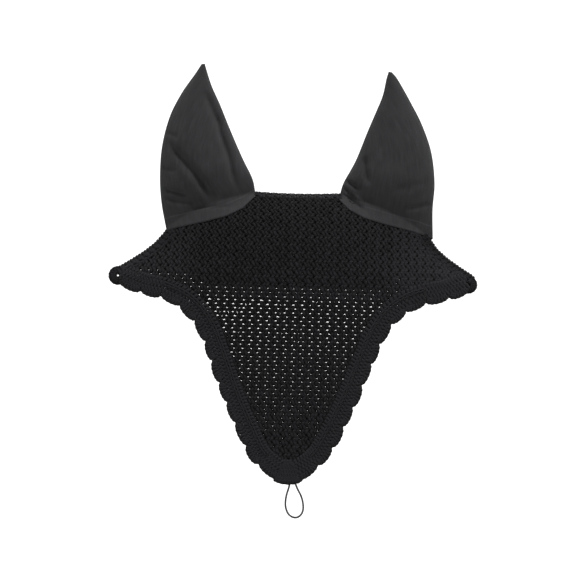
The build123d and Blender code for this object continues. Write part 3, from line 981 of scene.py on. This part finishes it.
def cloth_grid(name, rows, material, thick):
    """A cloth panel from a grid of points in mm, with its weave laid along the grid."""
    count_v, count_u = rows.shape[:2]
    index = np.arange(count_v * count_u).reshape(count_v, count_u)
    corners = index[:-1, :-1], index[:-1, 1:], index[1:, 1:], index[1:, :-1]
    faces = np.stack(corners, -1).reshape(-1, 4)
    spans_u = np.linalg.norm(np.diff(rows, axis=1), axis=2)
    spans_v = np.linalg.norm(np.diff(rows, axis=0), axis=2)
    run_u = np.concatenate([np.zeros((count_v, 1)), np.cumsum(spans_u, axis=1)], axis=1)
    run_v = np.concatenate([np.zeros((1, count_u)), np.cumsum(spans_v, axis=0)], axis=0)
    flat = np.stack([run_u, run_v], -1).reshape(-1, 2)
    made = make_mesh(name, [(rows.reshape(-1, 3), faces, flat[faces].reshape(-1, 2))], material)
    solid = made.modifiers.new("cloth", "SOLIDIFY")
    solid.thickness = thick * MM
    solid.offset = 0
    return made


# The line an ear cover would turn about with its ear, from the middle of its base up over
# the first 30 mm. The bend is worked out from it below but not applied.
EAR_FOOT = (98.0, -25.0)
EAR_RISE = (0.359 * 30, 0.933 * 30)
PANEL_COLUMNS = 64
PANEL_ROWS = 120
SEAM_POINTS = 90
PIPING_RADIUS = 0.8
for name, side in (("left", -1), ("right", 1)):
    foot = np.array([side * EAR_FOOT[0], EAR_FOOT[1]])
    rise = np.array([side * EAR_RISE[0], EAR_RISE[1]])
    bend = {"start": (foot[0] * MM, 0, foot[1] * MM),
            "end": ((foot[0] + rise[0]) * MM, 0, (foot[1] + rise[1]) * MM)}
    u = np.linspace(0, 1, PANEL_COLUMNS)[None, :]
    v = np.linspace(0, 1, PANEL_ROWS)[:, None]
    for facing, panel in ((-1, "front"), (1, "back")):
        grid = ear_surface(name, u + 0 * v, v + 0 * u, facing)
        cover = cloth_grid(f"{name}_ear_{panel}_cloth", grid, ear_cloth, EAR_CLOTH)
        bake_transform(cover)
        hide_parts(f"{name}_ear_{panel}")
    for edge, at in (("outer", 0.0), ("inner", 1.0)):
        v_line = np.linspace(0, 1, SEAM_POINTS)
        ridge = ear_surface(name, np.full(SEAM_POINTS, at), v_line, -1) * (1, 0, 1)
        piping = make_mesh(f"{name}_ear_{edge}_seam_cloth",
                           [tubes(ridge[None], PIPING_RADIUS, sides=8)], ear_cloth)
        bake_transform(piping)
        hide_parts(f"{name}_ear_{edge}_seam")
    hem_v = v[:HEM_ROWS]
    proud = 0.6 - 0.55 * (hem_v / hem_v[-1]) ** 3
    ahead = ear_surface(name, u + 0 * hem_v, hem_v + 0 * u, -1, proud)
    behind = ear_surface(name, u[:, ::-1] + 0 * hem_v, hem_v + 0 * u, 1, proud)
    hem_grid = np.concatenate([ahead, behind], axis=1)
    hem = cloth_grid(f"{name}_ear_hem_cloth", hem_grid, ear_cloth, HEM_CLOTH)
    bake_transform(hem)
    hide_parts(f"{name}_ear_hem")


# Room. A plain pale bowl, far larger than the veil: a floor that curves up into the walls,
# under soft even light.
FLOOR_Z = -0.75
ROOM_RADIUS = 7.0
ROOM_HEIGHT = 5.0
CURVE = 2.5
CURVE_STEPS = 12
SPOKES = 72
PAPER = 0.3
PAPER_GLOW = 0.9
profile = [(0.0, FLOOR_Z), (1.5, FLOOR_Z), (3.0, FLOOR_Z), (ROOM_RADIUS - CURVE, FLOOR_Z)]
for step in range(1, CURVE_STEPS + 1):
    angle = step / CURVE_STEPS * math.pi / 2
    out_by = ROOM_RADIUS - CURVE + CURVE * math.sin(angle)
    profile.append((out_by, FLOOR_Z + CURVE * (1 - math.cos(angle))))
profile.append((ROOM_RADIUS, ROOM_HEIGHT))
angles = [k * 2 * math.pi / SPOKES for k in range(SPOKES)]
points = [(r * math.cos(a), r * math.sin(a), z) for r, z in profile for a in angles]
faces = []
for low in range(0, (len(profile) - 1) * SPOKES, SPOKES):
    high = low + SPOKES
    for k in range(SPOKES):
        beside = (k + 1) % SPOKES
        faces.append((low + k, low + beside, high + beside, high + k))
room_mesh = bpy.data.meshes.new("room")
room_mesh.from_pydata(points, [], faces)
room_mesh.shade_smooth()
room = bpy.data.objects.new("room", room_mesh)
bpy.context.collection.objects.link(room)
pale = bpy.data.materials.new("pale_room")
pale.use_nodes = True
wall = pale.node_tree.nodes["Principled BSDF"]
wall.inputs["Base Color"].default_value = (PAPER, PAPER, PAPER, 1)
wall.inputs["Roughness"].default_value = 1.0
wall.inputs["Emission Color"].default_value = (1, 1, 1, 1)
wall.inputs["Emission Strength"].default_value = PAPER_GLOW
room_mesh.materials.append(pale)

world = bpy.data.worlds.new("daylight")
world.use_nodes = True
sky = world.node_tree.nodes["Background"]
sky.inputs["Color"].default_value = (1, 1, 1, 1)
sky.inputs["Strength"].default_value = 1.0
bpy.context.scene.world = world
# Each lamp's name, place, power and width
LAMPS = (
    ("key", (0.7, -1.3, 2.7), 190, 0.8), ("fill", (-2.2, -1.8, 0.6), 20, 1.6),
    ("top", (0.2, 0.3, 2.4), 40, 1.2), ("back", (0.8, 2.4, 1.2), 110, 1.2),
)
LIT_POINT = (0, 0, -0.1)
for name, place, power, size in LAMPS:
    light = bpy.data.lights.new(name, "AREA")
    light.energy = power
    light.size = size
    lamp = bpy.data.objects.new(name, light)
    lamp.location = place
    aim = np.array(LIT_POINT) - place
    lamp.rotation_euler = (math.atan2(math.hypot(aim[0], aim[1]), -aim[2]), 0,
                           math.atan2(aim[1], aim[0]) - math.pi / 2)
    bpy.context.collection.objects.link(lamp)
bpy.context.scene.view_settings.view_transform = "Standard"
